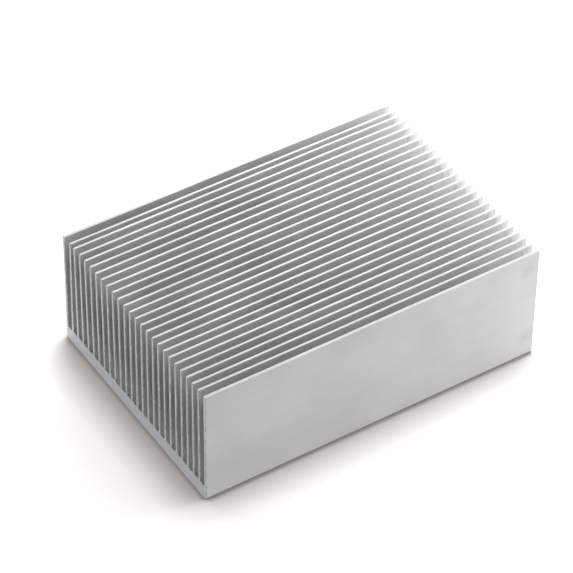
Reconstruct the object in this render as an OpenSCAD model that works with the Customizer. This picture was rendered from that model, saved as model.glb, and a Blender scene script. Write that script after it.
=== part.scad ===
// Extruded aluminium heat sink: a flat base plate that carries a comb of thin upright fins, all
// one piece of metal, with one section from end to end and both ends sawn square.
// X runs along the extrusion, Y across the fins and Z up. The origin is the centre of the base's
// flat underside. Dimensions are in millimetres.

/* [Block] */
// Length of the piece, along the fins
length = 100; // [20:1:300]
// Width over the two outer fins
width = 69.5; // [60:0.5:100]
// Height from the underside of the base to the fin tips
height = 35.5; // [15:0.5:60]

/* [Base] */
// Thickness of the plate below the gaps
base_t = 4.4; // [3:0.1:8]
// Radius of the two long lower edges
base_edge_r = 1; // [0.2:0.1:2]

/* [Fins] */
// Number of fins, the two outer ones included
fin_count = 26; // [6:1:30]
// Thickness of an inner fin at its tip
fin_t = 0.8; // [0.5:0.05:1]
// Thickness of an outer fin at its tip
outer_fin_t = 0.95; // [0.6:0.05:1.5]
// How much thicker an inner fin is at its root than at its tip
fin_taper = 0.1; // [0:0.02:0.3]
// Radius of the fillets along the roots of the fins
root_r = 0.4; // [0.1:0.05:0.6]
// Radius of the two edges along each fin tip
tip_r = 0.1; // [0.05:0.01:0.2]

/* [Hidden] */
$fn = 48;

// Every gap is the same, so the floors share what the roots of the fins leave. The outer faces of
// the block stay plumb, so an outer fin has its half of the taper on its inner side only.
gap_count = fin_count - 1;
fin_root_t = fin_t + fin_taper;
outer_root_t = outer_fin_t + fin_taper / 2;
floor_w = (width - 2 * outer_root_t - (fin_count - 2) * fin_root_t) / gap_count;
mouth_w = floor_w + fin_taper;
pitch = floor_w + fin_root_t;

// In a narrow gap the fillets stop short of meeting on the floor
fillet_r = min(root_r, 0.45 * floor_w);

// How far the gap cutters reach above the fin tips
overshoot = 1;

// Y of the middle of each gap
gap_ys = [for (i = [0 : gap_count - 1]) (i - (gap_count - 1) / 2) * pitch];

// A chain of points and its mirror image across the second axis, as one closed outline
function both_sides(half) =
    concat(half, [for (i = [len(half) - 1 : -1 : 0]) [-half[i].x, half[i].y]]);

// The same circle on both sides of the second axis
module circle_pair(x, y, r) {
    for (side = [-1, 1])
        translate([side * x, y])
            circle(r = r);
}

// The block before its gaps are cut. The outline takes each long edge off along a chord, and a
// circle fills the chord out to the round edge.
module block_section() {
    polygon(both_sides([
        [width / 2 - base_edge_r, 0],
        [width / 2, base_edge_r],
        [width / 2, height - tip_r],
        [width / 2 - tip_r, height]
    ]));
    circle_pair(width / 2 - base_edge_r, base_edge_r, base_edge_r);
    circle_pair(width / 2 - tip_r, height - tip_r, tip_r);
}

// The space between two fins: a floor with a fillet at each side, tapered walls, and a mouth that
// takes the edges of the fin tips off along chords
module gap_section() {
    polygon(both_sides([
        [floor_w / 2 - fillet_r, base_t],
        [floor_w / 2, base_t + fillet_r],
        [mouth_w / 2, height - tip_r],
        [mouth_w / 2 + tip_r, height],
        [mouth_w / 2 + tip_r, height + overshoot]
    ]));
    circle_pair(floor_w / 2 - fillet_r, base_t + fillet_r, fillet_r);
}

// The section that the die gives: the block with its gaps cut, then the round edges of the fin
// tips that face each other across each gap
module comb_section() {
    difference() {
        block_section();
        for (y = gap_ys)
            translate([y, 0])
                gap_section();
    }
    for (y = gap_ys)
        translate([y, 0])
            circle_pair(mouth_w / 2 + tip_r, height - tip_r, tip_r);
}

// The whole part: one length of the extrusion, laid along X with its fins upright
module heat_sink() {
    color("silver")
        translate([-length / 2, 0, 0])
            rotate([90, 0, 90])
                linear_extrude(height = length)
                    comb_section();
}

heat_sink();
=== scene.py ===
import math
import random
from collections import namedtuple

import bpy
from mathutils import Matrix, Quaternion, Vector


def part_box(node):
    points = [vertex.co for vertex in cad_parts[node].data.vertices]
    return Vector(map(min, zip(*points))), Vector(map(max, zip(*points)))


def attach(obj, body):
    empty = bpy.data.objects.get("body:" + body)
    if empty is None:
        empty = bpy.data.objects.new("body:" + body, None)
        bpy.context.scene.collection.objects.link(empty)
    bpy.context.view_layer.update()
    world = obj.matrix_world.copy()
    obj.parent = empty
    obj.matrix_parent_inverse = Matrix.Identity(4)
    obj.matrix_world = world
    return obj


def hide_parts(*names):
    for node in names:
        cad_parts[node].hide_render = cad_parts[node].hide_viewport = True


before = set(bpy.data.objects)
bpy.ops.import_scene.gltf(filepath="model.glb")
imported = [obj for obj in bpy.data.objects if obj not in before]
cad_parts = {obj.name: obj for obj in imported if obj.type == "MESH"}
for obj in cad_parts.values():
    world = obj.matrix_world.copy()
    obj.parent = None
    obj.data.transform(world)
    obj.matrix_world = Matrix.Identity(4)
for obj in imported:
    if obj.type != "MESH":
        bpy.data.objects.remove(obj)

# Extruded aluminium heat sink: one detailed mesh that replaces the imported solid, on a pale studio
# floor. X runs along the fins, Y across them and Z up. Everything is in metres.

MM = 0.001
NODE = "heat_sink"

# ---------------------------------------------------------------- the section
# As the CAD has it, but for the inner fins: 0.72 mm at the tip, where the CAD has 0.8 mm
FIN_COUNT = 26
BASE_THICKNESS = 4.4 * MM
BASE_EDGE_RADIUS = 1.0 * MM
FIN_TIP_THICKNESS = 0.72 * MM
FIN_TAPER = 0.1 * MM
OUTER_FIN_THICKNESS = 0.95 * MM
ROOT_RADIUS = 0.4 * MM
TIP_RADIUS = 0.1 * MM

# ---------------------------------------------------------------- what the real piece adds to it
# Thin fins leave the die a little off plumb: the tips wander sideways across the comb
LEAN_MEAN = 0.13 * MM
LEAN_SWING = 0.17 * MM
LEAN_PERIOD = 18.0
LEAN_PEAK = 1.5
LEAN_STRAY = 0.05 * MM
LEAN_SEED = 7
# The far side's outer fin stands just inside plumb, and the one before it has been pushed inwards
LAST_FIN_LEAN = -0.05 * MM
BENT_FIN = 24
BENT_FIN_LEAN = -0.4 * MM
# Each fin also bows a few hundredths of a millimetre along its length
BOW = 0.035 * MM
BOW_LENGTH = 62 * MM
# Both ends are sawn, with the burr taken off the edges
END_BREAK = 0.1 * MM
# At a sharp corner the broken edge reaches in at most 1 / MITRE_COSINE times as far
MITRE_COSINE = 0.5

# ---------------------------------------------------------------- how finely the mesh is cut
ROOT_STEPS = 5
TIP_STEPS = 4
BASE_EDGE_STEPS = 8
WALL_STEPS = 5
LENGTH_STEPS = 30
SHARP_ANGLE = 32

# ---------------------------------------------------------------- materials
# A pattern is noise with so many cells to the metre, where a pair is along X and across it. It
# goes from weakest to strongest as the noise goes from low to high, and is held beyond them.
NOISE_MIDDLE = (0.35, 0.65)
Pattern = namedtuple(
    "Pattern",
    "cells detail warp low high weakest strongest",
    defaults=(2.0, 0.0, *NOISE_MIDDLE, 0.0, 1.0),
)

# Satin metal straight from the die. Its streaks run along X, and so does the grain of its gloss.
# The skin goes from dull to clean by smudges and by bands, and its roughness goes with it.
EXTRUDED_DULL = (0.808, 0.812, 0.804)
EXTRUDED_CLEAN = (0.848, 0.852, 0.844)
EXTRUDED_ROUGHNESS = (0.63, 0.57)
EXTRUDED_GRAIN = 0.6
SMUDGES = Pattern(60, detail=3.0, warp=0.5)
DIE_BANDS = Pattern((7, 420), detail=3.0)
BAND_SHARE = 0.25
DIE_LINES = Pattern((35, 2600))
DIE_LINE_HEIGHT = 0.003 * MM
PITTING = Pattern(5200, detail=1.0)
PITTING_HEIGHT = 0.003 * MM
# Between the fins the drawing oil has dried in patches
STAIN_WARM = (0.79, 0.785, 0.775)
STAIN_COOL = (0.875, 0.88, 0.88)
STAINS = Pattern((55, 110), detail=3.0, warp=0.4, low=0.36, high=0.64)
# Towards the +X end and along the foot of each gap the metal there is lighter. That isn't a stain:
# it makes up for light that the lamps leave out. It comes in over the first pair, along X, and
# fades out over the second, up the gap.
LIGHTER = (0.94, 0.94, 0.93)
LIGHTER_MOST = 0.9
LIGHTER_ALONG = (0, 46 * MM)
LIGHTER_UP = (6 * MM, 15 * MM)
# A darker mottled band between the fins: how far in from the +X end, how far it reaches, and where it ends
# below a tip
END_MOTTLE_AT = 2.6 * MM
END_MOTTLE_REACH = 1.7 * MM
END_MOTTLE_BELOW_TIP = (0.3 * MM, 0.1 * MM)
END_MOTTLE = Pattern((900, 260), low=0.38, high=0.62, weakest=0.1)
END_MOTTLE_DARK = (0.70, 0.70, 0.70)
# Marks on the near outer face, as (x, z, reach): bruises where the saw's clamp held it, and smears
BRUISES = (
    (47.6 * MM, 7.0 * MM, 3.6 * MM),
    (46.6 * MM, 30.6 * MM, 3.2 * MM),
)
BRUISING = Pattern((3600, 2600), detail=3.0, low=0.4, high=0.62, weakest=0.15, strongest=0.8)
BRUISE_DULL = (0.62, 0.625, 0.63)
SMEARS = (
    (16.6 * MM, 23.0 * MM, 6.0 * MM),
    (-16.4 * MM, 17.3 * MM, 6.0 * MM),
    (-43.8 * MM, 6.5 * MM, 7.0 * MM),
)
SMEAR_STRENGTH = 0.35
SMEAR_DULL = (0.77, 0.775, 0.775)
# Ragged metal that the saw left along the foot of each gap
TORN_REACH = 1.0 * MM
TORN_TOP = 7.0 * MM
TORN_FLECKS = Pattern(1900, low=0.47, high=0.56)
TORN_DARK = (0.30, 0.30, 0.30)
# The broken edge is painted dark and uneven: painted shade, not the metal's own colour
EDGE_PAINTED_SHADE = (0.34, 0.34, 0.335)
EDGE_SHADE_MOTTLE = Pattern(700, low=0.38, high=0.6, weakest=0.1)
# Sawn metal, with the arcs that the blade leaves and a speckle, which its roughness goes with
SAWN_DULL = (0.62, 0.63, 0.645)
SAWN_CLEAN = (0.72, 0.735, 0.75)
SAWN_ROUGHNESS = (0.47, 0.57)
SAW_CENTRE = (0, -60 * MM, -120 * MM)
SAW_LINES = Pattern(2300, detail=3.0)
SAW_LINE_HEIGHT = 0.006 * MM
SAW_SPECKLE = Pattern(3600)
SAW_SPECKLE_HEIGHT = 0.01 * MM
SPECKLE_SHARE = 0.5

# ---------------------------------------------------------------- camera, at the picture's angle
VIEW_AZIMUTH = -33.46
VIEW_ELEVATION = 43.01
VIEW_ROLL = 1.04
VIEW_DISTANCE = 825.9 * MM
VIEW_TARGET = (-2.21 * MM, 3.10 * MM, 19.22 * MM)
LENS = 201.04
SENSOR = 36.0
NEAR_CLIP = 0.01
FAR_CLIP = 20

# ---------------------------------------------------------------- studio
FLOOR_DROP = 0.02 * MM
FLOOR_REACH = 3.0
# Colour of the floor to soft light, to the metal that mirrors it, and to the camera
FLOOR_COLOUR = (0.81, 0.80, 0.79)
FLOOR_MIRRORED = (1.36, 1.35, 1.34)
FLOOR_SHOWN = (2.02, 2.00, 1.97)
# Painted shadow: the camera sees the floor darken as the object hides the lit side of its sky.
# The reach is how far the sky is looked at; the pair, how open it is in the darkest and lightest shade.
CONTACT_SIDE = (10, 62)
CONTACT_REACH = 12 * MM
CONTACT_SKY = (0.45, 1.0)
CONTACT_SHOWN = (0.90, 0.86, 0.84)
# Right at the object's edge there is a thin dark line of painted shadow as well
CREVICE_REACH = 1.8 * MM
CREVICE_SKY = (0.5, 0.95)
CREVICE_SHOWN = (0.48, 0.45, 0.43)
SKY_SAMPLES = 16
WORLD_COLOUR = (1.0, 1.0, 1.0)
WORLD_STRENGTH = 0.195
LAMP_TARGET = (0, 0, 15 * MM)
# name: compass direction from the object (0 is +X, 90 is +Y), height angle, distance, size, watts
LAMPS = {
    "close_back": (60, 38, 0.19, 0.14, 0.083),
    "close_right": (347, 28, 0.20, 0.12, 0.085),
    "along_gaps": (356, 10, 0.50, 0.30, 0.20),
    "key": (50, 50, 0.45, 0.40, 0.35),
    "right_front": (335, 22, 0.42, 0.34, 0.27),
    "overhead": (0, 74, 0.60, 0.22, 0.083),
    "back": (90, 30, 0.60, 0.50, 0.69),
    "left_back": (140, 38, 0.80, 0.60, 0.35),
    "left": (180, 45, 0.80, 0.60, 0.68),
    "camera_side": (230, 45, 0.80, 0.60, 0.36),
    "front": (280, 40, 0.80, 0.60, 0.10),
}
# Light goes from wall to wall many times on its way down a gap
GLOSSY_BOUNCES = 12

low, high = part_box(NODE)
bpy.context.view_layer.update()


# ================================================================ the section
def arc(centre, radius, start, end, steps):
    """Points of an arc in the section plane, with its angles in degrees from +Y towards +Z."""
    points = []
    for i in range(steps + 1):
        angle = math.radians(start + (end - start) * i / steps)
        points.append((centre[0] + radius * math.cos(angle), centre[1] + radius * math.sin(angle)))
    return points


def gap_widths():
    """Width of every gap at its floor and at its mouth."""
    inner_roots = (FIN_COUNT - 2) * (FIN_TIP_THICKNESS + FIN_TAPER)
    outer_roots = 2 * OUTER_FIN_THICKNESS + FIN_TAPER
    floor = (high.y - low.y - inner_roots - outer_roots) / (FIN_COUNT - 1)
    return floor, floor + FIN_TAPER


def fin_side(root_y, tip_y, outward, in_gap):
    """One side of an upright fin, from its foot to the flat of its tip. outward is -1 or 1."""
    foot_z = BASE_THICKNESS + ROOT_RADIUS
    tip_z = high.z - TIP_RADIUS
    points = arc((root_y + outward * ROOT_RADIUS, foot_z), ROOT_RADIUS, 270, 270 - outward * 90, ROOT_STEPS)
    if not in_gap:
        points = [(root_y, z) for _, z in points]
    for i in range(1, WALL_STEPS):
        share = i / WALL_STEPS
        points.append((root_y + share * (tip_y - root_y), foot_z + share * (tip_z - foot_z)))
    start = 0 if outward > 0 else 180
    return points + arc((tip_y - outward * TIP_RADIUS, tip_z), TIP_RADIUS, start, 90, TIP_STEPS)


def upright_fins():
    """Each fin as its two sides, near (-Y) side first, in order from -Y to +Y."""
    floor, mouth = gap_widths()
    pitch = floor + FIN_TIP_THICKNESS + FIN_TAPER
    fins = []
    for fin in range(FIN_COUNT):
        gap_before = (fin - FIN_COUNT / 2) * pitch
        gap_after = gap_before + pitch
        near = fin_side(gap_before + floor / 2, gap_before + mouth / 2, -1, True)
        far = fin_side(gap_after - floor / 2, gap_after - mouth / 2, 1, True)
        if fin == 0:
            near = fin_side(low.y, low.y, -1, False)
        if fin == FIN_COUNT - 1:
            far = fin_side(high.y, high.y, 1, False)
        fins.append((near, far))
    return fins


def section():
    """The outline of the section, clockwise in (y, z), as (y, z, fin or None), and its faces.

    The faces fill the outline and run counter-clockwise. Each fin is a ladder of quads, the base
    is a row of quads below the fins' feet, and one many-sided face rounds off each lower edge."""
    outline, faces, feet = [], [], []

    def add(points, fin=None):
        first = len(outline)
        outline.extend((y, z, fin) for y, z in points)
        return list(range(first, len(outline)))

    for fin, (near_side, far_side) in enumerate(upright_fins()):
        near = add(near_side, fin)
        far = add(reversed(far_side), fin)[::-1]
        feet += [near[0], far[0]]
        for row in range(len(near) - 1):
            faces.append((near[row], far[row], far[row + 1], near[row + 1]))

    radius = BASE_EDGE_RADIUS
    inner = feet[1:-1]
    far_corner = add(arc((high.y - radius, radius), radius, 0, -90, BASE_EDGE_STEPS))
    below = add([(outline[i][0], 0.0) for i in inner[::-1]])[::-1]
    near_corner = add(arc((low.y + radius, radius), radius, -90, -180, BASE_EDGE_STEPS))
    for i in range(len(inner) - 1):
        faces.append((below[i], below[i + 1], inner[i + 1], inner[i]))
    faces.append((below[-1], *far_corner[::-1], feet[-1], inner[-1]))
    faces.append((*near_corner[::-1], below[0], inner[0], feet[0]))
    return outline, faces


def inset(outline, depth):
    """The outline moved into the metal by depth, square to the mean of its two edges."""
    moved = []
    for i, (y, z, fin) in enumerate(outline):
        here = Vector((y, z))
        ahead = (Vector(outline[(i + 1) % len(outline)][:2]) - here).normalized()
        behind = (here - Vector(outline[i - 1][:2])).normalized()
        along = (ahead + behind).normalized()
        inward = Vector((along.y, -along.x)) * depth / max(MITRE_COSINE, along.dot(ahead))
        moved.append((y + inward.x, z + inward.y, fin))
    return moved


# ================================================================ the piece
def fin_leans():
    """How far each fin's tip stands to +Y of its foot, and where along X its bow starts."""
    draw = random.Random(LEAN_SEED)
    leans = []
    for fin in range(FIN_COUNT):
        swing = math.cos(2 * math.pi * (fin - LEAN_PEAK) / LEAN_PERIOD)
        lean = LEAN_MEAN + LEAN_SWING * swing + draw.uniform(-1, 1) * LEAN_STRAY
        if fin == BENT_FIN:
            lean = BENT_FIN_LEAN
        if fin == FIN_COUNT - 1:
            lean = LAST_FIN_LEAN
        leans.append((lean, draw.random()))
    return leans


def ring(x, outline, leans):
    """The outline as 3-D points at one place along X, with every fin leaning and bowing there."""
    points = []
    for y, z, fin in outline:
        if fin is not None:
            lean, phase = leans[fin]
            tip = lean + BOW * math.sin(2 * math.pi * (x / BOW_LENGTH + phase))
            y += tip * max(0.0, (z - BASE_THICKNESS) / (high.z - BASE_THICKNESS))
        points.append((x, y, z))
    return points


def extrusion_mesh():
    """The section swept along X, closed by its two sawn ends. Material 1 is the sawn metal."""
    outline, faces = section()
    small = inset(outline, END_BREAK)
    leans = fin_leans()
    inner_xs = [low.x + (high.x - low.x) * i / LENGTH_STEPS for i in range(1, LENGTH_STEPS)]
    rings = [ring(low.x, small, leans), ring(low.x + END_BREAK, outline, leans)]
    rings += [ring(x, outline, leans) for x in inner_xs]
    rings += [ring(high.x - END_BREAK, outline, leans), ring(high.x, small, leans)]

    count = len(outline)
    polygons, slots = [], []
    for s in range(len(rings) - 1):
        here, there = s * count, (s + 1) * count
        for i in range(count):
            j = (i + 1) % count
            polygons.append((here + i, there + i, there + j, here + j))
            slots.append(0)
    last = (len(rings) - 1) * count
    for face in faces:
        polygons += [face[::-1], tuple(last + i for i in face)]
        slots += [1, 1]

    mesh = bpy.data.meshes.new("heat_sink_extrusion")
    mesh.from_pydata([point for points in rings for point in points], [], polygons)
    mesh.polygons.foreach_set("material_index", slots)
    mesh.update()
    return mesh


def build_piece():
    """The whole heat sink as one piece, smooth-shaded between its sharp edges."""
    mesh = extrusion_mesh()
    mesh.materials.append(extruded_metal())
    mesh.materials.append(sawn_metal())
    mesh.shade_smooth()
    mesh.set_sharp_from_angle(angle=math.radians(SHARP_ANGLE))
    piece = bpy.data.objects.new("heat_sink_extrusion", mesh)
    bpy.context.scene.collection.objects.link(piece)
    normals = piece.modifiers.new("flat faces stay flat", "WEIGHTED_NORMAL")
    normals.keep_sharp = True
    return piece


# ================================================================ shader nodes
def node(tree, kind, inputs=None, **settings):
    """A new shader node. Each input is a value or the output of another node."""
    made = tree.nodes.new("ShaderNode" + kind)
    for name, value in settings.items():
        setattr(made, name, value)
    for name, value in (inputs or {}).items():
        if isinstance(value, bpy.types.NodeSocket):
            tree.links.new(value, made.inputs[name])
        else:
            made.inputs[name].default_value = value
    return made


def maths(tree, operation, first, second=0.0):
    return node(tree, "Math", {0: first, 1: second}, operation=operation).outputs[0]


def product(tree, first, *others):
    for other in others:
        first = maths(tree, "MULTIPLY", first, other)
    return first


def weighed(tree, share, first, second):
    """The sum of two values, with this share of the second and the rest of the first."""
    return maths(tree, "ADD", product(tree, first, 1 - share), product(tree, second, share))


def spread(tree, value, low_in, high_in, low_out, high_out):
    """value mapped from one range to another, and held inside it."""
    ranges = {"From Min": low_in, "From Max": high_in, "To Min": low_out, "To Max": high_out}
    return node(tree, "MapRange", {"Value": value, **ranges}).outputs["Result"]


def object_place(tree):
    return node(tree, "TexCoord").outputs["Object"]


def noise(tree, place, pattern):
    """The bare noise of a pattern."""
    scale = pattern.cells
    if isinstance(scale, tuple):
        along, across = scale
        stretch = {"Vector": place, "Scale": (along, across, across)}
        place = node(tree, "Mapping", stretch).outputs["Vector"]
        scale = 1.0
    settings = {"Vector": place, "Scale": scale, "Detail": pattern.detail, "Distortion": pattern.warp}
    return node(tree, "TexNoise", settings).outputs["Fac"]


def patches(tree, place, pattern):
    """A pattern from its weakest to its strongest."""
    limits = (pattern.low, pattern.high, pattern.weakest, pattern.strongest)
    return spread(tree, noise(tree, place, pattern), *limits)


def blend(tree, factor, first, second):
    """A colour from first to second. Each is a colour or a node's output."""
    ends = [end if isinstance(end, bpy.types.NodeSocket) else (*end, 1) for end in (first, second)]
    mix = node(tree, "Mix", data_type="RGBA")
    for name, value in zip(("Factor", "A", "B"), (factor, *ends)):
        if isinstance(value, bpy.types.NodeSocket):
            tree.links.new(value, mix.inputs[name])
        else:
            mix.inputs[name].default_value = value
    return mix.outputs["Result"]


def bump(tree, height, distance, normal=None):
    inputs = {"Height": height, "Distance": distance, "Strength": 1.0}
    if normal is not None:
        inputs["Normal"] = normal
    return node(tree, "Bump", inputs).outputs["Normal"]


# ================================================================ metal
def new_metal(name):
    material = bpy.data.materials.new(name)
    material.use_nodes = True
    shader = material.node_tree.nodes["Principled BSDF"]
    shader.inputs["Metallic"].default_value = 1.0
    return material, material.node_tree, shader


def between_fins(tree, across):
    """1 on the fins' tips and on every face that looks into a gap, 0 on the rest of the outside."""
    aside = maths(tree, "ABSOLUTE", across["Y"])
    within = maths(tree, "LESS_THAN", aside, high.y - OUTER_FIN_THICKNESS / 2)
    return product(tree, within, maths(tree, "GREATER_THAN", across["Z"], BASE_THICKNESS / 2))


def gap_colour(tree, place, across):
    """Metal between the fins: dried oil, the lighter stretches of painted light, and a darker mottled band
    by the +X end.
    """
    oil = blend(tree, patches(tree, place, STAINS), STAIN_WARM, STAIN_COOL)
    along = spread(tree, across["X"], *LIGHTER_ALONG, 0.0, LIGHTER_MOST)
    foot = spread(tree, across["Z"], *LIGHTER_UP, LIGHTER_MOST, 0.0)
    colour = blend(tree, maths(tree, "MAXIMUM", along, foot), oil, LIGHTER)

    # A darker mottled band on the gap walls, just in from the +X end
    away = maths(tree, "ABSOLUTE", maths(tree, "SUBTRACT", across["X"], high.x - END_MOTTLE_AT))
    band = spread(tree, away, 0.0, END_MOTTLE_REACH, 1.0, 0.0)
    fade_from, fade_to = (high.z - depth for depth in END_MOTTLE_BELOW_TIP)
    below_tips = spread(tree, across["Z"], fade_from, fade_to, 1.0, 0.0)
    mottle = product(tree, band, patches(tree, place, END_MOTTLE), below_tips)
    return blend(tree, mottle, colour, END_MOTTLE_DARK)


def face_marks(tree, place, marks):
    """1 in the middle of each mark on the near outer face, falling to 0 at its reach."""
    mask = 0.0
    for x, z, reach in marks:
        away = node(tree, "VectorMath", {0: place, 1: (x, low.y, z)}, operation="DISTANCE")
        here = spread(tree, away.outputs["Value"], 0.0, reach, 1.0, 0.0)
        mask = maths(tree, "ADD", mask, here)
    return mask


def handled(tree, place, colour):
    """The colour with its smears and bruises."""
    smears = product(tree, face_marks(tree, place, SMEARS), SMEAR_STRENGTH)
    colour = blend(tree, smears, colour, SMEAR_DULL)
    bruises = product(tree, face_marks(tree, place, BRUISES), patches(tree, place, BRUISING))
    return blend(tree, bruises, colour, BRUISE_DULL)


def cut_off(tree, place, across, colour):
    """The colour with torn flecks at the feet of the gaps and painted shade on the broken edges, at both
    ends.
    """
    to_end = maths(tree, "SUBTRACT", high.x, maths(tree, "ABSOLUTE", across["X"]))
    near_end = spread(tree, to_end, 0.0, TORN_REACH, 1.0, 0.0)
    low_down = spread(tree, across["Z"], BASE_THICKNESS, TORN_TOP, 1.0, 0.0)
    flecks = patches(tree, place, TORN_FLECKS)
    torn = product(tree, near_end, low_down, between_fins(tree, across), flecks)
    colour = blend(tree, torn, colour, TORN_DARK)
    # Painted shade: the broken edge is darkened in an uneven pattern
    on_edge = maths(tree, "LESS_THAN", to_end, END_BREAK)
    return blend(tree, product(tree, on_edge, patches(tree, place, EDGE_SHADE_MOTTLE)), colour, EDGE_PAINTED_SHADE)


def extruded_metal():
    """Mill-finish skin: die streaks along X, soft smudges, fine pitting, and marks of handling."""
    material, tree, shader = new_metal("extruded aluminium")
    place = object_place(tree)
    across = node(tree, "SeparateXYZ", {"Vector": place}).outputs
    cleanness = weighed(tree, BAND_SHARE, noise(tree, place, SMUDGES), noise(tree, place, DIE_BANDS))

    clean = spread(tree, cleanness, *NOISE_MIDDLE, 0.0, 1.0)
    colour = blend(tree, clean, EXTRUDED_DULL, EXTRUDED_CLEAN)
    colour = blend(tree, between_fins(tree, across), colour, gap_colour(tree, place, across))
    colour = handled(tree, place, colour)
    colour = cut_off(tree, place, across, colour)
    tree.links.new(colour, shader.inputs["Base Color"])

    roughness = spread(tree, cleanness, *NOISE_MIDDLE, *EXTRUDED_ROUGHNESS)
    tree.links.new(roughness, shader.inputs["Roughness"])
    shader.inputs["Anisotropic"].default_value = EXTRUDED_GRAIN
    tangent = node(tree, "Tangent", direction_type="RADIAL", axis="X")
    tree.links.new(tangent.outputs["Tangent"], shader.inputs["Tangent"])

    normal = bump(tree, noise(tree, place, DIE_LINES), DIE_LINE_HEIGHT)
    normal = bump(tree, noise(tree, place, PITTING), PITTING_HEIGHT, normal)
    tree.links.new(normal, shader.inputs["Normal"])
    return material


def sawn_metal():
    """Cut ends: shallow arcs from the blade, and the speckle of torn metal between them."""
    material, tree, shader = new_metal("sawn aluminium")
    place = object_place(tree)
    from_blade = node(tree, "VectorMath", {0: place, 1: SAW_CENTRE}, operation="DISTANCE")
    arcs_place = node(tree, "CombineXYZ", {"X": from_blade.outputs["Value"]}).outputs["Vector"]
    arcs = noise(tree, arcs_place, SAW_LINES)
    speckle = noise(tree, place, SAW_SPECKLE)

    clean = spread(tree, weighed(tree, SPECKLE_SHARE, arcs, speckle), *NOISE_MIDDLE, 0.0, 1.0)
    tree.links.new(blend(tree, clean, SAWN_DULL, SAWN_CLEAN), shader.inputs["Base Color"])
    roughness = spread(tree, speckle, *NOISE_MIDDLE, *SAWN_ROUGHNESS)
    tree.links.new(roughness, shader.inputs["Roughness"])
    normal = bump(tree, arcs, SAW_LINE_HEIGHT)
    normal = bump(tree, speckle, SAW_SPECKLE_HEIGHT, normal)
    tree.links.new(normal, shader.inputs["Normal"])
    return material


# ================================================================ studio
def direction(compass, height):
    compass, height = math.radians(compass), math.radians(height)
    level = math.cos(height)
    return Vector((level * math.cos(compass), level * math.sin(compass), math.sin(height)))


def open_sky(tree, reach, limits, **inputs):
    """How open the floor's sky is: 0 and 1 at the two limits of its share that nothing hides."""
    sky = node(tree, "AmbientOcclusion", {"Distance": reach, **inputs}, samples=SKY_SAMPLES)
    return spread(tree, sky.outputs["AO"], *limits, 0.0, 1.0)


def floor_material():
    """Pale floor: white to the camera, less bright in the metal, and painted shadow close to the object."""
    material = bpy.data.materials.new("studio floor")
    material.use_nodes = True
    tree = material.node_tree
    tree.nodes.clear()
    path = node(tree, "LightPath").outputs
    mirrored = maths(tree, "MAXIMUM", path["Is Glossy Ray"], path["Is Transmission Ray"])
    unseen = blend(tree, mirrored, FLOOR_COLOUR, FLOOR_MIRRORED)

    lit_side = node(tree, "CombineXYZ", dict(zip("XYZ", direction(*CONTACT_SIDE)))).outputs["Vector"]
    # Painted shadow: to the camera the floor's colour darkens close to the object
    contact = open_sky(tree, CONTACT_REACH, CONTACT_SKY, Normal=lit_side)
    crevice = open_sky(tree, CREVICE_REACH, CREVICE_SKY)
    shown = blend(tree, contact, CONTACT_SHOWN, FLOOR_SHOWN)
    shown = blend(tree, crevice, CREVICE_SHOWN, shown)
    colour = blend(tree, path["Is Camera Ray"], unseen, shown)
    diffuse = node(tree, "BsdfDiffuse", {"Color": colour})
    node(tree, "OutputMaterial", {"Surface": diffuse.outputs["BSDF"]})
    return material


def add_floor():
    reach = FLOOR_REACH
    corners = [(-reach, -reach), (reach, -reach), (reach, reach), (-reach, reach)]
    mesh = bpy.data.meshes.new("studio_floor")
    mesh.from_pydata([(x, y, -FLOOR_DROP) for x, y in corners], [], [(0, 1, 2, 3)])
    mesh.materials.append(floor_material())
    floor = bpy.data.objects.new("studio_floor", mesh)
    bpy.context.scene.collection.objects.link(floor)
    return floor


def add_world():
    world = bpy.data.worlds.new("studio")
    world.use_nodes = True
    background = world.node_tree.nodes["Background"]
    background.inputs["Color"].default_value = (*WORLD_COLOUR, 1)
    background.inputs["Strength"].default_value = WORLD_STRENGTH
    bpy.context.scene.world = world


def add_lamp(name, compass, height, distance, size, watts):
    light = bpy.data.lights.new(name, "AREA")
    light.shape = "SQUARE"
    light.size = size
    light.energy = watts
    lamp = bpy.data.objects.new(name, light)
    away = direction(compass, height)
    lamp.location = Vector(LAMP_TARGET) + away * distance
    lamp.rotation_euler = away.to_track_quat("Z", "Y").to_euler()
    bpy.context.scene.collection.objects.link(lamp)


def add_camera():
    data = bpy.data.cameras.new("camera")
    data.sensor_width = SENSOR
    data.lens = LENS
    data.clip_start = NEAR_CLIP
    data.clip_end = FAR_CLIP
    camera = bpy.data.objects.new("camera", data)
    forward = -direction(VIEW_AZIMUTH - 90, VIEW_ELEVATION)
    turn = forward.to_track_quat("-Z", "Y") @ Quaternion((0, 0, 1), math.radians(VIEW_ROLL))
    camera.location = Vector(VIEW_TARGET) - forward * VIEW_DISTANCE
    camera.rotation_euler = turn.to_euler()
    bpy.context.scene.collection.objects.link(camera)
    bpy.context.scene.camera = camera


piece = build_piece()
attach(piece, "root")
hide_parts(NODE)

add_floor()
add_world()
for lamp_name, settings in LAMPS.items():
    add_lamp(lamp_name, *settings)
add_camera()
bpy.context.scene.cycles.glossy_bounces = GLOSSY_BOUNCES
bpy.context.scene.view_settings.view_transform = "Standard"
